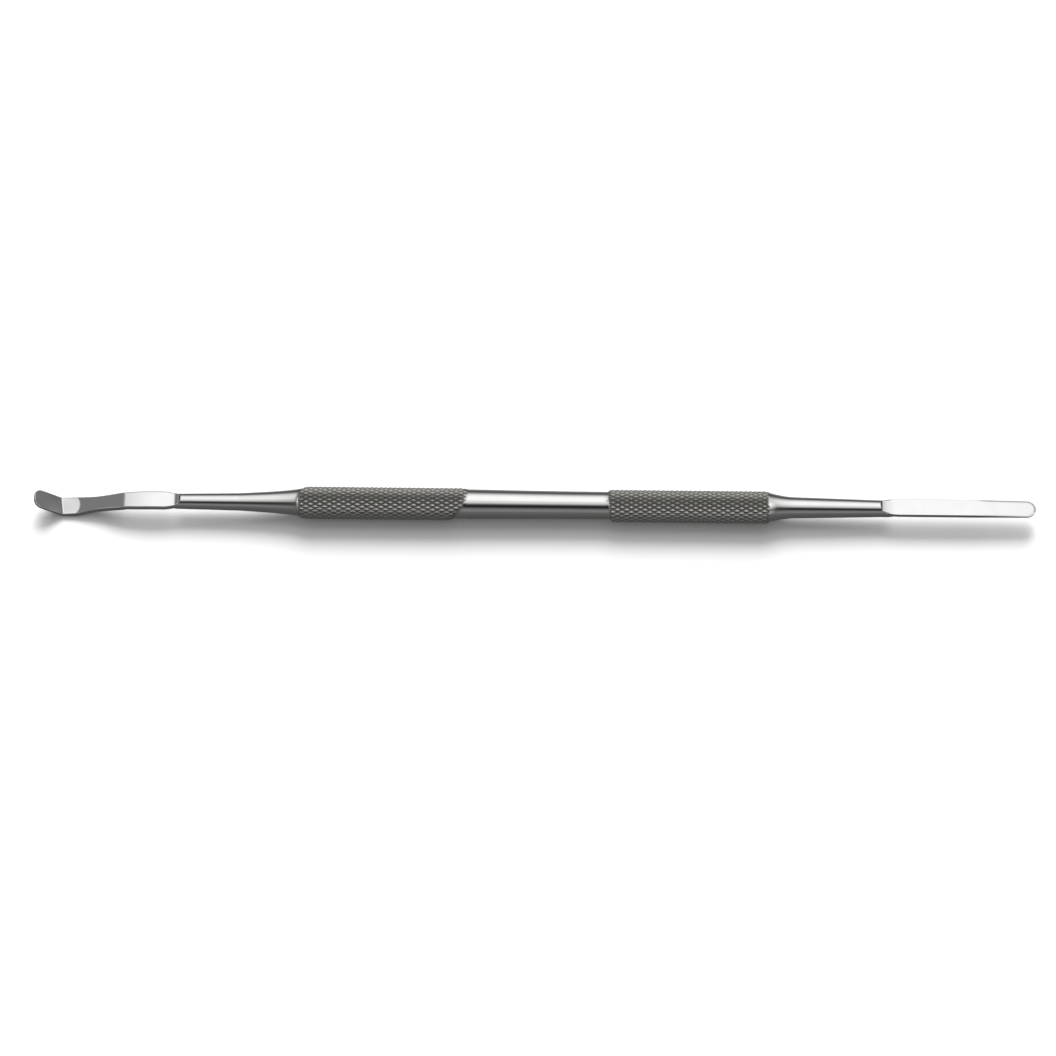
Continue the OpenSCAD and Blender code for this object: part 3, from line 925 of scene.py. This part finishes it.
def makeFloor(look):
    size, tone = look["halfSize"], look["tone"]
    z = cadLow.z - look["gap"]
    corners = [(-size, -size, z), (size, -size, z), (size, size, z), (-size, size, z)]
    floor = meshObject("floor", corners, [(0, 1, 2, 3)])
    material, _, shader, _ = startMaterial("paleFloor")
    shader.inputs["Base Color"].default_value = (tone, tone, tone, 1)
    shader.inputs["Roughness"].default_value = look["roughness"]
    shader.inputs["Specular IOR Level"].default_value = 0.0
    floor.data.materials.append(material)
    floor.visible_glossy = False
    return floor


def makeSoftLight(name, strength, spread, backTilt):
    data = bpy.data.lights.new(name, "SUN")
    data.energy, data.angle = strength, math.radians(spread)
    light = bpy.data.objects.new(name, data)
    bpy.context.scene.collection.objects.link(light)
    tilt = math.radians(backTilt)
    light.rotation_mode = "QUATERNION"
    light.rotation_quaternion = Vector((0, math.sin(tilt), math.cos(tilt))).to_track_quat("Z", "X")
    light.visible_camera = False
    light.visible_glossy = False
    return light


# brightness of the studio by the angle over the tool, from the floor in front (-90) over the
# top (90) to the back
skyStops = [
    (-90, 0.08), (-40, 0.09), (-5, 0.13), (12, 0.23), (28, 0.17), (37, 0.05), (47, 0.012), (56, 0.04),
    (63, 0.18), (72, 0.62), (88, 0.88), (97, 1.14), (122, 1.14), (136, 0.96), (146, 0.70),
    (160, 0.26), (173, 0.09), (186, 0.10), (205, 0.28), (270, 0.12),
]
# how much of it is left to either side, from the pusher's end (-1) to the spatula's (1)
sideStops = [
    (-1.0, 0.05), (-0.46, 0.08), (-0.4, 0.14), (-0.3, 0.66), (-0.2, 0.80), (-0.12, 0.88),
    (-0.04, 1.0), (0.03, 1.0),
    (0.1, 0.95), (0.2, 0.9), (0.36, 0.8), (0.5, 0.56), (0.66, 0.24), (0.78, 0.06), (1.0, 0.04),
]
# what is left beyond the reach of the main panel
baseStops = [(-90, 0.07), (0, 0.10), (60, 0.13), (163, 0.14), (182, 0.03), (245, 0.03), (270, 0.07)]
# panels standing beyond both ends of the tool, by the same angle, and how far out they reach
leftStops = [
    (-90, 0.1), (0, 0.1), (20, 0.3), (34, 0.1), (50, 0.75), (80, 0.95), (108, 0.5), (118, 0.0),
    (138, 0.0), (144, 0.42), (158, 0.5), (176, 0.1), (200, 0.3), (225, 0.1), (270, 0.1),
]
rightStops = [
    (-90, 0.02), (-5, 0.05), (12, 0.5), (26, 0.42), (40, 0.08), (56, 0.7), (84, 0.95), (106, 0.5),
    (116, 0.0), (160, 0.0), (172, 0.28), (186, 0.36), (200, 0.0), (270, 0.02),
]
reachStops = [
    (0.0, 0.0), (0.46, 0.0), (0.58, 1.0), (0.75, 1.0), (0.8, 0.1), (0.87, 0.0), (0.96, 0.4), (1.0, 0.4),
]


def makeStudio(look):
    world = bpy.data.worlds.new("studio")
    bpy.context.scene.world = world
    world.use_nodes = True
    tree = world.node_tree
    tree.nodes.clear()
    direction = tree.nodes.new("ShaderNodeTexCoord").outputs["Generated"]
    parts = addNode(tree, "ShaderNodeSeparateXYZ", inputs={0: direction})
    x, y, z = parts.outputs
    over = math1(tree, "ARCTAN2", z, math1(tree, "MULTIPLY", y, -1.0))
    turnSpan = 2 * math.pi
    shifted = math1(tree, "MODULO", math1(tree, "ADD", over, math.pi / 2 + turnSpan), turnSpan)
    share = math1(tree, "DIVIDE", shifted, turnSpan)
    sky, base, leftPanel, rightPanel = [
        ramp(tree, share, [((a + 90) / 360, v) for a, v in stops])
        for stops in (skyStops, baseStops, leftStops, rightStops)]
    across = math1(tree, "MULTIPLY_ADD", x, 0.5, 0.5)
    side = ramp(tree, across, [((p + 1) / 2, v) for p, v in sideStops])
    above = math1(tree, "MULTIPLY", math1(tree, "SUBTRACT", sky, base), side)
    onRight = math1(tree, "GREATER_THAN", x, 0.0)
    difference = math1(tree, "SUBTRACT", rightPanel, leftPanel)
    panel = math1(tree, "MULTIPLY_ADD", difference, onRight, leftPanel)
    reach = ramp(tree, math1(tree, "ABSOLUTE", x), reachStops)
    panels = math1(tree, "MULTIPLY", panel, reach)
    total = math1(tree, "ADD", math1(tree, "ADD", above, base), panels)
    studio = addNode(tree, "ShaderNodeBackground", inputs={
        "Color": math1(tree, "MAXIMUM", total, 0.0), "Strength": 1.0})
    plain = addNode(tree, "ShaderNodeBackground", inputs={
        "Color": (1, 1, 1, 1), "Strength": look["ambient"]})
    rays = tree.nodes.new("ShaderNodeLightPath")
    seen = addNode(tree, "ShaderNodeBackground", inputs={
        "Color": (1, 1, 1, 1), "Strength": look["backdrop"]})
    # reflections see the studio, the camera sees a plain backdrop, and the rest is even light
    choose = addNode(tree, "ShaderNodeMixShader", inputs={
        0: rays.outputs["Is Glossy Ray"], 1: plain.outputs[0], 2: studio.outputs[0]})
    backdrop = addNode(tree, "ShaderNodeMixShader", inputs={
        0: rays.outputs["Is Camera Ray"], 1: choose.outputs[0], 2: seen.outputs[0]})
    addNode(tree, "ShaderNodeOutputWorld", inputs={"Surface": backdrop.outputs[0]})


makeFloor(floorLook)
makeSoftLight("softKey", lightLook["keyStrength"], lightLook["keySpread"], lightLook["keyTilt"])
makeSoftLight("softFill", lightLook["fillStrength"], lightLook["fillSpread"], lightLook["fillTilt"])
makeStudio(lightLook)
bpy.context.scene.view_settings.view_transform = "Standard"
print("studio ready")
